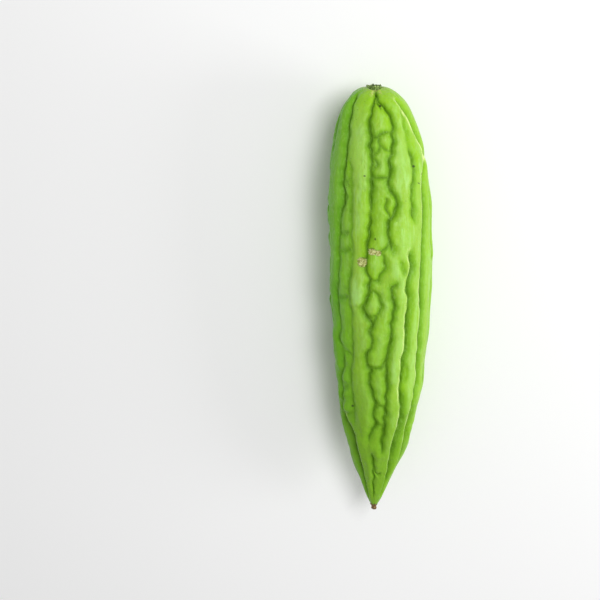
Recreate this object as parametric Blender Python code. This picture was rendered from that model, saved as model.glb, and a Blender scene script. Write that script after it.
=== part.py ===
"""Bitter gourd, lying on its side: one grown solid.

The skin is a spindle with a little sideways bow. Furrows run along it, some whole and some in stretches, and
rows of warts stand between the ribs. Every furrow is a line on the unrolled skin, given by its stations along
the gourd and its angles round it, and the skin sinks toward each line along a rounded flank, which leaves
pillow-like ribs and warts between the lines. The furrows of the upper side are placed one by one, those
underneath follow the same rule with seeded draws. The cut stub of the stalk and the dry flower tip are the
two ends of the same outline.

Frame: metres, +Z up, the stem end toward +Y, the flower tip toward -Y, the origin below the middle of the
box. Angles are in degrees from straight up, growing toward +X.
"""

import math
import random

import bmesh
import bpy
import numpy as np

MM = 0.001

# Main sizes.
LENGTH = 264 * MM
GIRTH_RADIUS = 31.0 * MM
BOW = 3.6 * MM
DROOP = 2.6 * MM
REST_CUT = 0.8 * MM

# Outline of one side over the rib crests: station from the stem end, then radius. It is drawn in
# millimetres for a gourd of the main sizes and is stretched to them.
OUTLINE = [
    (1.3, 0.0),
    (1.2, 1.4),
    (0.6, 2.6),
    (0.0, 3.4),
    (0.1, 4.1),
    (0.9, 4.1),
    (2.0, 3.6),
    (2.9, 3.9),
    (2.5, 4.7),
    (1.4, 5.8),
    (1.3, 7.4),
    (2.3, 9.8),
    (4.6, 13.4),
    (10.0, 18.2),
    (19.5, 22.3),
    (32.0, 26.1),
    (49.0, 29.3),
    (70.0, 30.7),
    (100.0, 31.0),
    (125.0, 30.6),
    (150.0, 29.3),
    (178.0, 27.0),
    (200.0, 23.8),
    (217.7, 19.6),
    (232.0, 14.4),
    (244.0, 9.4),
    (253.0, 5.8),
    (258.0, 3.4),
    (260.3, 2.2),
    (261.6, 1.6),
    (263.2, 1.5),
    (264.0, 0.0),
]

# Relief. A furrow is worked out on the skin no farther than NEAR before and behind it, and MEAN_RADIUS
# turns angles into lengths along it.
NEAR = 8.0 * MM
MEAN_RADIUS = 28.0 * MM
FLOOR_ROUND = 0.35 * MM
WIGGLE = 0.4 * MM
ROW_SINK = 0.9 * MM
SWELL = 0.4 * MM
BLEND = 4.0
SEED = 20
SEEDED_LUMPS = 110

# The stub of the stalk: run from the centre of its end to its foot, and the radius where the ribs' ends
# begin.
STUB_RUN = 6.6 * MM
RIB_END = 5.5 * MM

# Long furrows of the upper side: kind, then points of station in millimetres and angle.
LONG_FURROWS = [
    ("firm", [(4, -56), (10, -51), (17, -50), (25, -48), (34, -46), (42, -46), (49, -48), (56, -48),
              (61, -46), (67, -50)]),
    ("mild", [(61, -46), (67, -50), (72, -53), (82, -55), (94, -55), (108, -57), (119, -62), (129, -61),
              (138, -57), (146, -59), (153, -57), (158, -55), (166, -57), (172, -62), (179, -60),
              (186, -61), (191, -64), (198, -63), (203, -56)]),
    ("deep", [(198, -63), (203, -56), (207, -52), (213, -49), (220, -51), (232, -55), (241, -57),
              (250, -58)]),
    ("soft", [(40, -39), (48, -36), (62, -35), (89, -36), (101, -37), (110, -41), (122, -41), (129, -39),
              (144, -39), (156, -39), (169, -43), (182, -43), (192, -42), (202, -41)]),
    ("deep", [(3, 1), (6, -5), (10, -9), (14, -11), (18, -14), (22, -14), (25, -11), (28, -10), (31, -14),
              (34, -11), (37, -10), (41, -11), (50, -11), (62, -12), (76, -14), (87, -17), (95, -19),
              (98, -20), (104, -18), (108, -16), (117, -17), (124, -22), (127, -23), (130, -21), (132, -17),
              (135, -14), (140, -15), (145, -13), (150, -14), (154, -19), (158, -20), (162, -19),
              (166, -14), (169, -17), (176, -15), (181, -12), (186, -9), (190, -10), (196, -10), (202, -8),
              (204, -12), (208, -16), (212, -20)]),
    ("deep", [(3, 1), (7, 8), (10, 14), (13, 20), (16, 23), (20, 23), (24, 20), (29, 19), (35, 16),
              (40, 12), (45, 13), (49, 10), (52, 9), (56, 11), (61, 16), (65, 18), (69, 15), (72, 11),
              (74, 8), (78, 7), (83, 7), (88, 9), (91, 10)]),
    ("deep", [(111, 15), (112, 12), (114, 9), (118, 10), (121, 12), (126, 13), (134, 10), (140, 10),
              (146, 10), (151, 8), (156, 6), (161, 5), (167, 6), (175, 7), (188, 7), (202, 7), (210, 6),
              (215, 5), (220, 6)]),
    ("soft", [(12, 47), (19, 45), (27, 43), (34, 43), (40, 44)]),
    ("firm", [(34, 43), (40, 44), (47, 43), (56, 39), (64, 38), (71, 38), (75, 39)]),
    ("deep", [(93, 32), (97, 32), (101, 34), (105, 32), (109, 29), (114, 28), (119, 30), (124, 32),
              (132, 31), (141, 30), (150, 31), (155, 27), (159, 26), (163, 28), (168, 33), (172, 30),
              (175, 27), (181, 27), (188, 30), (195, 32), (201, 32), (206, 30), (216, 30), (222, 32),
              (228, 35), (234, 40), (246, 46)]),
    ("deep", [(37, 76), (42, 72), (48, 62), (53, 59), (57, 59), (65, 58), (72, 55), (81, 52), (90, 52),
              (100, 51), (109, 49), (118, 48), (128, 50), (141, 51), (146, 49), (153, 51), (158, 49),
              (163, 51), (168, 53), (174, 55), (183, 52), (191, 56), (198, 53), (204, 56), (211, 59),
              (222, 61), (233, 69), (246, 74)]),
    ("soft", [(60, 79), (72, 76), (84, 78), (97, 75), (108, 78), (121, 76), (135, 79), (150, 76), (163, 78),
              (177, 76), (190, 79), (204, 78), (216, 81)]),
    ("deep", [(7, 45), (12, 53), (16, 60), (21, 63), (26, 65), (32, 71), (37, 77), (46, 90), (54, 97),
              (70, 97), (88, 99), (106, 96), (124, 98), (145, 97), (168, 99), (190, 98), (212, 100),
              (236, 101), (249, 103)]),
]

# Short furrows that part the warts of the upper side.
SHORT_FURROWS = [
    ("gap", [(25, -12), (26, -3), (25, 1), (24, 8), (24, 19)]),
    ("gap", [(26, 0), (29, 0), (31, 1), (34, -3), (36, -6), (38, -8), (39, -6), (41, -5), (43, -7),
             (44, -10)]),
    ("gap", [(31, 1), (33, 7), (34, 15)]),
    ("gap", [(49, -10), (49, -5), (49, 2), (49, 10)]),
    ("gap", [(61, 5), (68, 6), (72, 8)]),
    ("gap", [(83, 7), (87, 6), (90, 3), (91, 0), (93, -2)]),
    ("gap", [(91, -18), (91, -12), (93, -2)]),
    ("gap", [(93, -2), (94, 0), (98, 2), (100, 3), (105, -2), (108, -4)]),
    ("gap", [(104, -17), (108, -14), (109, -8), (108, -4)]),
    ("gap", [(116, -16), (115, -12), (116, -9), (119, -4), (122, -3), (127, -4), (130, -7)]),
    ("gap", [(128, -23), (130, -18), (131, -13), (130, -7)]),
    ("gap", [(130, -7), (133, -9), (137, -13), (140, -14)]),
    ("gap", [(161, -19), (163, -14), (164, -7), (163, 0), (160, 5)]),
    ("gap", [(189, -9), (188, -2), (189, 6)]),
    ("gap", [(201, -8), (201, -1), (202, 6)]),
    ("gap", [(226, -14), (230, -10), (234, -9), (237, 0)]),
    ("faint", [(87, 12), (90, 12), (94, 12)]),
    ("faint", [(98, 20), (102, 22), (106, 23)]),
    ("faint", [(53, -47), (52, -39)]),
    ("faint", [(59, -46), (62, -39)]),
    ("faint", [(83, -55), (83, -46), (81, -37)]),
    ("faint", [(94, -55), (93, -45), (90, -37)]),
    ("faint", [(122, -60), (122, -51), (120, -43)]),
    ("faint", [(137, -56), (137, -48), (139, -40)]),
    ("faint", [(156, -55), (156, -48), (157, -41)]),
    ("faint", [(166, -57), (166, -50), (165, -44)]),
    ("faint", [(179, -60), (178, -52), (176, -44)]),
    ("faint", [(188, -62), (188, -53), (185, -44)]),
    ("faint", [(196, -61), (196, -51), (193, -42)]),
]

# Depth, reach and length of the fading ends of each kind of furrow, in millimetres, and how sharp its floor
# is.
KINDS = {
    "deep": (3.5, 7.4, 5.0, 0.72),
    "firm": (2.9, 6.6, 5.0, 0.65),
    "mild": (2.1, 5.5, 5.0, 0.40),
    "soft": (1.5, 5.0, 5.0, 0.25),
    "gap": (2.4, 4.8, 1.5, 0.65),
    "wart": (2.9, 5.4, 1.5, 0.45),
    "faint": (1.6, 4.0, 2.0, 0.30),
}

# Rows of warts: angles of the two sides, and first and last station.
MIDDLE_ROW = (-13, 9, 26, 222)
LEFT_ROW = (-55, -38, 44, 200)
SIDE_ROWS = [
    (-104, -82, 24, 236),
    (119, 136, 18, 232),
    (203, 221, 22, 228),
]

# Angles of the furrows between the ribs of the underside.
UNDER_FURROWS = [119, 136, 158, 180, 203, 221, 240, 256, 278]

# Lumps of the upper side: station, angle, half length along, half width across and height, in millimetres.
LUMPS = [
    (41, -24, 14, 4.5, 0.4), (68, -26, 13, 4.5, 0.5), (93, -27, 8, 4.0, -0.3), (116, -29, 12, 5.0, 0.6),
    (148, -28, 9, 4.0, 0.4), (170, -30, 12, 4.5, 0.4), (196, -24, 10, 4.0, 0.5), (28, 30, 10, 5.0, 0.4),
    (50, 28, 9, 5.0, 0.4), (78, 23, 5, 4.0, 0.6), (79, 28, 2.5, 2.2, -0.7), (100, 15, 6, 2.0, 0.5),
    (98, 26, 7, 4.0, 0.4), (70, 25, 3, 2.5, 0.35), (63, 13, 4, 2.2, 0.5), (165, -63, 4, 3.0, 0.6),
    (184, -67, 5, 3.0, 0.6), (97, 76, 9, 5.0, 1.0), (117, 78, 6, 4.0, 0.6), (76, 80, 8, 5.0, -0.4),
    (54, -86, 4, 4.0, 0.6), (68, -88, 5, 4.0, 0.8), (78, -86, 4, 3.5, 0.5), (89, -87, 5, 4.0, 0.7),
    (107, -86, 6, 4.0, 0.7), (126, -88, 7, 4.0, 0.8), (57, -42, 4, 2.8, 0.6), (72, -45, 8, 3.2, 0.8),
    (88, -46, 4, 3.2, 0.6), (108, -49, 11, 3.4, 0.6), (130, -50, 6, 3.2, 0.7), (147, -49, 6, 3.4, 0.9),
    (160, -50, 4, 3.2, 0.5), (172, -52, 5, 3.4, 0.9), (183, -53, 3.5, 3.0, 0.7), (192, -53, 3.5, 3.0, 0.7),
    (204, 30, 9, 4.0, 0.3), (160, 40, 9, 4.0, 0.3),
]

# Gap between the ribs' ends in front of the stalk: radius, angle, half length, half width and depth.
NOTCH = (5.6, -3, 3.6, 4.2, 2.3)

# Mesh: rows along and columns round before thinning, and the share of triangles kept.
ROWS = 300
COLUMNS = 300
KEEP = 0.062


def clear_scene():
    """Removes every object that the new file starts with."""
    for item in list(bpy.data.objects):
        bpy.data.objects.remove(item, do_unlink=True)


def spline(points, steps):
    """Centripetal spline through points, with the given number of steps between two of them."""
    points = np.asarray(points, float)
    points = np.vstack([2 * points[0] - points[1], points, 2 * points[-1] - points[-2]])
    chords = np.sqrt(np.maximum(np.linalg.norm(np.diff(points, axis=0), axis=1), 1e-9))
    knots = np.concatenate([[0.0], np.cumsum(chords)])
    pieces = []
    for i in range(1, len(points) - 2):
        t0, t1, t2, t3 = knots[i - 1:i + 3]
        t = np.linspace(t1, t2, steps, endpoint=False)[:, None]
        a1 = ((t1 - t) * points[i - 1] + (t - t0) * points[i]) / (t1 - t0)
        a2 = ((t2 - t) * points[i] + (t - t1) * points[i + 1]) / (t2 - t1)
        a3 = ((t3 - t) * points[i + 1] + (t - t2) * points[i + 2]) / (t3 - t2)
        b1 = ((t2 - t) * a1 + (t - t0) * a2) / (t2 - t0)
        b2 = ((t3 - t) * a2 + (t - t1) * a3) / (t3 - t1)
        pieces.append(((t2 - t) * b1 + (t - t1) * b2) / (t2 - t1))
    pieces.append(points[-2:-1])
    return np.vstack(pieces)


def outline_curve(rows):
    """Station, radius and run length at each grid row, closer together at both ends."""
    drawn = np.array(OUTLINE)
    curve = spline(drawn * [LENGTH / drawn[:, 0].max(), GIRTH_RADIUS / drawn[:, 1].max()], 24)
    run = np.concatenate([[0.0], np.cumsum(np.linalg.norm(np.diff(curve, axis=0), axis=1))])
    fine = np.linspace(0.0, run[-1], 4000)
    density = 1.0 + 2.2 * np.exp(-fine / (10 * MM)) + 1.4 * np.exp((fine - run[-1]) / (10 * MM))
    count = np.concatenate([[0.0], np.cumsum(density[1:])])
    even = np.interp(np.linspace(0.0, count[-1], rows), count, fine)
    station = np.interp(even, run, curve[:, 0])
    radius = np.interp(even, run, curve[:, 1])
    return station, np.maximum(radius, 0.0), even


def wander(draw, angle, first, last, spread):
    """A furrow that keeps near one angle: points moved by a walk that is drawn back to the angle."""
    line = []
    shift = draw.uniform(-spread, spread)
    station = first
    while station <= last:
        line.append((station, angle + shift))
        shift = 0.55 * shift + draw.uniform(-spread, spread)
        station += draw.uniform(9, 15)
    return line


def angle_on(line, station):
    """The angle of a furrow at a station."""
    return float(np.interp(station, [p[0] for p in line], [p[1] for p in line]))


def row_gaps(draw, left, right, first, last):
    """Short furrows that part a row into uneven warts: whole and half gaps, forks, and side warts."""
    gaps = []
    station = first + draw.uniform(4, 10)
    while station < last - 8:
        slant = draw.uniform(-3.5, 3.5)
        a = angle_on(left, station - slant)
        b = angle_on(right, station + slant)
        if draw.random() < 0.5:
            a, b = b, a
        middle = a + draw.uniform(0.35, 0.65) * (b - a)
        kind = draw.random()
        low = (station + draw.uniform(3, 6), middle)
        if kind < 0.4:
            crest = (station + draw.uniform(-1.5, 2.5), middle)
            gaps.append([(station - slant, a), crest, (station + slant, b)])
        elif kind < 0.65:
            gaps.append([(station - slant, a), low, (station + slant, b)])
            gaps.append([low, (low[0] + draw.uniform(4, 8), middle + draw.uniform(-3, 3))])
        elif kind < 0.8:
            gaps.append([(station, a), (station + 2, a + 0.35 * (b - a)), low])
        else:
            span = draw.uniform(6, 10)
            gaps.append([(station, a), (station + 0.25 * span, middle), (station + 0.75 * span, middle),
                         (station + span, a)])
        station += draw.uniform(9, 21)
    return gaps


def all_furrows():
    """Every furrow as a kind and its points."""
    draw = random.Random(SEED)
    furrows = LONG_FURROWS + SHORT_FURROWS
    under = {}
    for angle in UNDER_FURROWS:
        spread = 0.8 if angle == 180 else 2.0
        first = draw.uniform(3.5, 6)
        last = draw.uniform(246, 254)
        under[angle] = wander(draw, angle, first, last, spread)
        furrows = furrows + [("deep", under[angle])]
    for left, right, row in ((256, 278, SIDE_ROWS[0]), (119, 136, SIDE_ROWS[1]), (203, 221, SIDE_ROWS[2])):
        furrows = furrows + [("wart", gap) for gap in row_gaps(draw, under[left], under[right], *row[2:])]
    return furrows


def waver(seed, run, angle, shortest, longest):
    """Even waver of the skin, from about -1 to 1: the sum of seven slanted sine waves with seeded phases."""
    draw = random.Random(seed)
    wave = np.zeros((len(run), len(angle)))
    for _ in range(7):
        length = draw.uniform(shortest, longest) * MM
        turns = draw.choice((-9, -7, -5, -4, 4, 5, 7, 9))
        phase = draw.uniform(0, 2 * math.pi)
        wave += np.sin(2 * math.pi * run[:, None] / length + turns * angle[None, :] + phase)
    return wave / 2.6


def distance_to(line, radius, run, along_skin, round_skin, table):
    """Distance on the unrolled skin from the grid points near a furrow to it, and the place along it."""
    path = spline(line, 4 if len(line) > 2 else 2)
    stations = path[:, 0] * MM
    angles = np.radians(path[:, 1])
    runs = np.interp(stations, table[0], table[1])
    steps = np.hypot(np.diff(runs), MEAN_RADIUS * np.diff(angles))
    length = np.concatenate([[0.0], np.cumsum(steps)])
    rows = np.flatnonzero((run > runs.min() - NEAR) & (run < runs.max() + NEAR))
    middle = 0.5 * (angles.min() + angles.max())
    turn = (round_skin[rows] - middle + math.pi) % (2 * math.pi) - math.pi + middle
    along = along_skin[rows]
    scale = radius[rows][:, None]
    nearest = np.full(turn.shape, 1.0)
    place = np.zeros(turn.shape)
    for i in range(len(path) - 1):
        step_u = runs[i + 1] - runs[i]
        step_v = scale * (angles[i + 1] - angles[i])
        u = along - runs[i]
        v = scale * (turn - angles[i])
        t = np.clip((u * step_u + v * step_v) / (step_u ** 2 + step_v ** 2 + 1e-12), 0.0, 1.0)
        d = np.hypot(u - t * step_u, v - t * step_v)
        closer = d < nearest
        nearest = np.where(closer, d, nearest)
        place = np.where(closer, length[i] + t * (length[i + 1] - length[i]), place)
    return rows, nearest, place, length[-1]


def sink_of(station, radius, run, angle):
    """How far the skin sinks below the rib crests at each grid point.

    For one furrow with depth h and reach q, at distance d on the unrolled skin, with t = 1 - min(d / q, 1):
    sink = h * ((1 - k) * t^2 + k * (1 - sqrt(1 - t^2))), where k says how sharp the floor is, faded over the
    last few millimetres of each end. The furrows are joined by (sum of sink^BLEND)^(1 / BLEND). The place on
    the skin wavers by WIGGLE before the distance is taken, and the depth by a seventh.
    """
    deep = np.minimum(np.clip(radius / (17 * MM), 0.01, 1.0) ** 0.6, radius / (13.5 * MM))
    lobes = 0.85 * np.sqrt(np.clip((radius / MM - 3.2) / 5.0, 0.0, 1.0))
    deep = np.where(station < 12 * MM, np.maximum(deep, lobes), deep)
    wide = np.clip(radius / (24 * MM), 0.1, 1.0)
    total = np.zeros((len(station), len(angle)))
    first = int(np.argmax(radius > RIB_END))
    table = (np.maximum.accumulate(station[first:]), run[first:])
    along_skin = run[:, None] + WIGGLE * waver(SEED + 3, run, angle, 7, 15)
    sideways = WIGGLE * waver(SEED + 4, run, angle, 6, 16)
    round_skin = angle[None, :] + sideways / np.maximum(radius, 8 * MM)[:, None]
    uneven = 1.0 + 0.14 * waver(SEED + 5, run, angle, 9, 30)
    for kind, line in all_furrows():
        depth, reach, end = [value * MM for value in KINDS[kind][:3]]
        sharp = KINDS[kind][3]
        rows, nearest, place, length = distance_to(line, radius, run, along_skin, round_skin, table)
        span = wide[rows][:, None]
        blunt = FLOOR_ROUND * span
        t = 1.0 - np.clip((np.sqrt(nearest ** 2 + blunt ** 2) - 0.3 * blunt) / (reach * span), 0.0, 1.0)
        fade = np.clip(place / end + 0.5, 0.0, 1.0) * np.clip((length - place) / end + 0.5, 0.0, 1.0)
        shape = (1.0 - sharp) * t ** 2 + sharp * (1.0 - np.sqrt(1.0 - t ** 2))
        total[rows] += (depth * deep[rows][:, None] * fade * shape * uneven[rows] / MM) ** BLEND
    return total ** (1.0 / BLEND) * MM


def lumps_of(station, radius, angle):
    """Soft lumps and dents: Gaussian bumps, the named ones of the upper side and seeded ones all round."""
    draw = random.Random(SEED + 2)
    table = list(LUMPS)
    for _ in range(SEEDED_LUMPS):
        place = (draw.uniform(14, 238), draw.uniform(-180, 180), draw.uniform(3, 9), draw.uniform(2.5, 4.5))
        calm = 0.25 if abs(abs(place[1]) - 180) < 30 else 1.0
        table.append(place + (calm * draw.choice((-0.35, 0.35, 0.55)),))
    height = np.zeros((len(station), len(angle)))
    for at, turn, along, across, lift in table:
        away = (angle - math.radians(turn) + math.pi) % (2 * math.pi) - math.pi
        u = (station[:, None] / MM - at) / along
        v = radius[:, None] * away[None, :] / (across * MM)
        height += lift * MM * np.exp(-1.3 * (u ** 2 + v ** 2))
    return height


def swell_of(run, angle):
    """Slow rise and fall of the skin: nine waves with seeded phases, calmer where the gourd lies."""
    draw = random.Random(SEED + 1)
    wave = np.zeros((len(run), len(angle)))
    for _ in range(9):
        turns = draw.randint(1, 9)
        length = draw.uniform(22, 60) * MM
        phase = draw.uniform(0, 2 * math.pi)
        wave += np.sin(2 * math.pi * run[:, None] / length + turns * angle[None, :] + phase)
    calm = 1.0 - 0.8 * np.clip(-np.cos(angle), 0.0, 1.0) ** 4
    return SWELL * calm[None, :] * wave / 3.0


def droop_of(station):
    """How far the axis sinks toward the flower tip, so that the underside lies along the surface."""
    share = np.clip((station / MM - 105) / 65, 0.0, 1.0)
    return DROOP * share * share * (3.0 - 2.0 * share)


def row_sink(station, angle):
    """The rows of warts lie a little lower than the ribs: a smooth trough across each row."""
    trough = np.zeros((len(station), len(angle)))
    degrees = np.degrees(angle)
    for left, right, first, last in [LEFT_ROW, MIDDLE_ROW] + SIDE_ROWS:
        centre = 0.5 * (left + right)
        half = 0.62 * (right - left)
        away = (degrees - centre + 180) % 360 - 180
        across = np.clip(1.0 - (away / half) ** 2, 0.0, 1.0) ** 1.5
        along = np.clip((station / MM - first) / 12, 0.0, 1.0) * np.clip((last - station / MM) / 12, 0.0, 1.0)
        trough += along[:, None] * across[None, :]
    return ROW_SINK * np.clip(trough, 0.0, 1.0)


def notch_of(station, radius, angle):
    """Gap between the ribs' ends in front of the stalk: a soft round dent on the stem end."""
    at, turn, along, across, depth = NOTCH
    away = (angle - math.radians(turn) + math.pi) % (2 * math.pi) - math.pi
    u = (radius[:, None] / MM - at) / along
    v = radius[:, None] * away[None, :] / (across * MM)
    near = np.where(station[:, None] < 12 * MM, np.clip(1.0 - np.sqrt(u ** 2 + v ** 2), 0.0, 1.0), 0.0)
    return depth * MM * near ** 0.7


def skin():
    """Grid of skin points: rows along the gourd, columns round it."""
    station, radius, run = outline_curve(ROWS)
    angle = np.linspace(-math.pi, math.pi, COLUMNS, endpoint=False)
    step_s = np.gradient(station, run)
    step_r = np.gradient(radius, run)
    size = np.clip((radius - 3.5 * MM) / (12 * MM), 0.0, 1.0)[:, None]
    raised = swell_of(run, angle) + lumps_of(station, radius, angle)
    sink = sink_of(station, radius, run, angle) + notch_of(station, radius, angle)
    sink += (row_sink(station, angle) - raised) * size
    sink *= np.where(run < STUB_RUN, 0.0, np.clip((radius / MM - 4.0) / 1.5, 0.0, 1.0))[:, None]
    corners = 0.10 * np.sin(3 * angle + 0.6) + 0.07 * np.sin(5 * angle + 2.0)
    stalk = np.clip((STUB_RUN - run) / MM, 0.0, 1.0)[:, None]
    around = 1.0 + stalk * corners[None, :]
    r = radius[:, None] * around - sink * np.maximum(step_s, 0.0)[:, None]
    s = station[:, None] + sink * np.clip(step_r, -1.0, 1.0)[:, None]
    r = np.maximum(r, 0.0)
    x = BOW * np.sin(math.pi * np.clip(s / LENGTH, 0.0, 1.0)) + r * np.sin(angle)
    y = LENGTH / 2 - s
    z = r * np.cos(angle) - droop_of(s)
    return np.stack([x, y, z], axis=-1)


def gourd_mesh():
    """Closed mesh of the skin: the grid, with its first and last rows drawn together into one point each."""
    grid = skin()
    rows, columns = grid.shape[:2]
    inner = grid[1:-1].reshape(-1, 3)
    ends = np.array([grid[0].mean(axis=0), grid[-1].mean(axis=0)])
    points = np.vstack([inner, ends])
    low = points.min(axis=0)
    high = points.max(axis=0)
    points -= np.array([0.5 * (low[0] + high[0]), 0.5 * (low[1] + high[1]), low[2] + REST_CUT])
    faces = []
    for i in range(rows - 3):
        for j in range(columns):
            k = (j + 1) % columns
            faces.append((i * columns + j, i * columns + k, (i + 1) * columns + k, (i + 1) * columns + j))
    stem = len(inner)
    tip = len(inner) + 1
    last = (rows - 3) * columns
    for j in range(columns):
        k = (j + 1) % columns
        faces.append((stem, k, j))
        faces.append((tip, last + j, last + k))
    mesh = bpy.data.meshes.new("gourd")
    mesh.from_pydata([tuple(p) for p in points], [], faces)
    mesh.validate()
    mesh.update()
    return mesh


def rind_material():
    """Plain light green rind."""
    material = bpy.data.materials.new("rind")
    material.use_nodes = True
    shader = material.node_tree.nodes["Principled BSDF"]
    shader.inputs["Base Color"].default_value = (0.33, 0.58, 0.10, 1.0)
    shader.inputs["Roughness"].default_value = 0.42
    return material


def floor_block():
    """Helper under the gourd that cuts its two resting spots flat."""
    mesh = bpy.data.meshes.new("floor_block")
    form = bmesh.new()
    bmesh.ops.create_cube(form, size=1.0)
    for vertex in form.verts:
        vertex.co.x *= 0.2
        vertex.co.y *= 0.4
        vertex.co.z = (vertex.co.z - 0.5) * 0.02
    form.to_mesh(mesh)
    form.free()
    block = bpy.data.objects.new("floor_block", mesh)
    block.hide_render = True
    block.display_type = "WIRE"
    bpy.context.scene.collection.objects.link(block)
    return block


def build():
    """Builds the gourd: the fine skin, thinned, then cut flat where it rests."""
    clear_scene()
    gourd = bpy.data.objects.new("gourd", gourd_mesh())
    gourd.data.materials.append(rind_material())
    gourd.data.polygons.foreach_set("use_smooth", [True] * len(gourd.data.polygons))
    bpy.context.scene.collection.objects.link(gourd)
    thin = gourd.modifiers.new("thin", "DECIMATE")
    thin.decimate_type = "COLLAPSE"
    thin.ratio = KEEP
    thin.use_collapse_triangulate = True
    cut = gourd.modifiers.new("rest", "BOOLEAN")
    cut.operation = "DIFFERENCE"
    cut.solver = "EXACT"
    cut.object = floor_block()
    return gourd


build()
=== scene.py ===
"""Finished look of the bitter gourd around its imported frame.

The skin is worked out again on a finer grid by the same rule as the solid: a spindle outline, furrows on the
unrolled skin, and pillow-like ribs and warts between them. Colours, gloss and fine relief are node materials.
Lengths are metres, stations run from the stem end, and angles are degrees from straight up, growing
toward +X.
"""

import collections
import functools
import math
import random

import bpy
import numpy as np
from mathutils import Matrix, Vector


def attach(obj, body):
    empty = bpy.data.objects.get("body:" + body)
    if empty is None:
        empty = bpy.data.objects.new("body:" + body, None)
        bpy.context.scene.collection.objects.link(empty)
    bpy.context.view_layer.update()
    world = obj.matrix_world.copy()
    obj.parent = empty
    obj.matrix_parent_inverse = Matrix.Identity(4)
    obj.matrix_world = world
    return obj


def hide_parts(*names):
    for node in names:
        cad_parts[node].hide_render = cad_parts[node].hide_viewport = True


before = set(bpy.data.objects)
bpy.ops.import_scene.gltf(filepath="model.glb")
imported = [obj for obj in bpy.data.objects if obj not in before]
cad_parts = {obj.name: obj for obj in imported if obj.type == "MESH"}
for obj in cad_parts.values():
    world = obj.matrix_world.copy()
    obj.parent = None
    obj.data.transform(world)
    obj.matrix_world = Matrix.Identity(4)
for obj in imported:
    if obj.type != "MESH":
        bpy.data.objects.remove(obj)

bl_info = {
    "name": "Bitter gourd",
    "version": (1, 0, 0),
    "blender": (4, 5, 0),
    "location": "View3D > Sidebar > Gourd",
    "description": "Builds the skin, the stalk stub and the dry flower tip of a bitter gourd, and its stage",
    "category": "Add Mesh",
}

MM = 0.001

# A furrow is worked out on the skin no farther than NEAR before and behind it, and MEAN_RADIUS turns angles
# into lengths along it.
NEAR = 8.0 * MM
MEAN_RADIUS = 28.0 * MM

# Outline of one side over the rib crests: station, then radius. It is drawn in millimetres for a gourd of
# this length and girth radius, and is stretched to the sizes that are set.
DRAWN_SIZE = (264.0, 31.0)
OUTLINE = [
    (2.6, 0.0), (2.6, 1.5), (2.7, 2.8), (2.5, 3.8), (1.7, 4.7), (1.2, 5.8), (1.3, 7.4),
    (2.3, 9.8), (4.6, 13.4), (10.0, 18.2), (19.5, 22.3), (32.0, 26.1), (49.0, 29.3), (70.0, 30.7),
    (100.0, 31.0), (125.0, 30.6), (150.0, 29.3), (178.0, 27.0), (200.0, 23.8), (217.7, 19.6), (232.0, 14.4),
    (244.0, 9.4), (253.0, 5.8), (258.0, 3.4), (260.3, 2.0), (261.0, 0.9), (261.2, 0.0),
]

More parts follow.
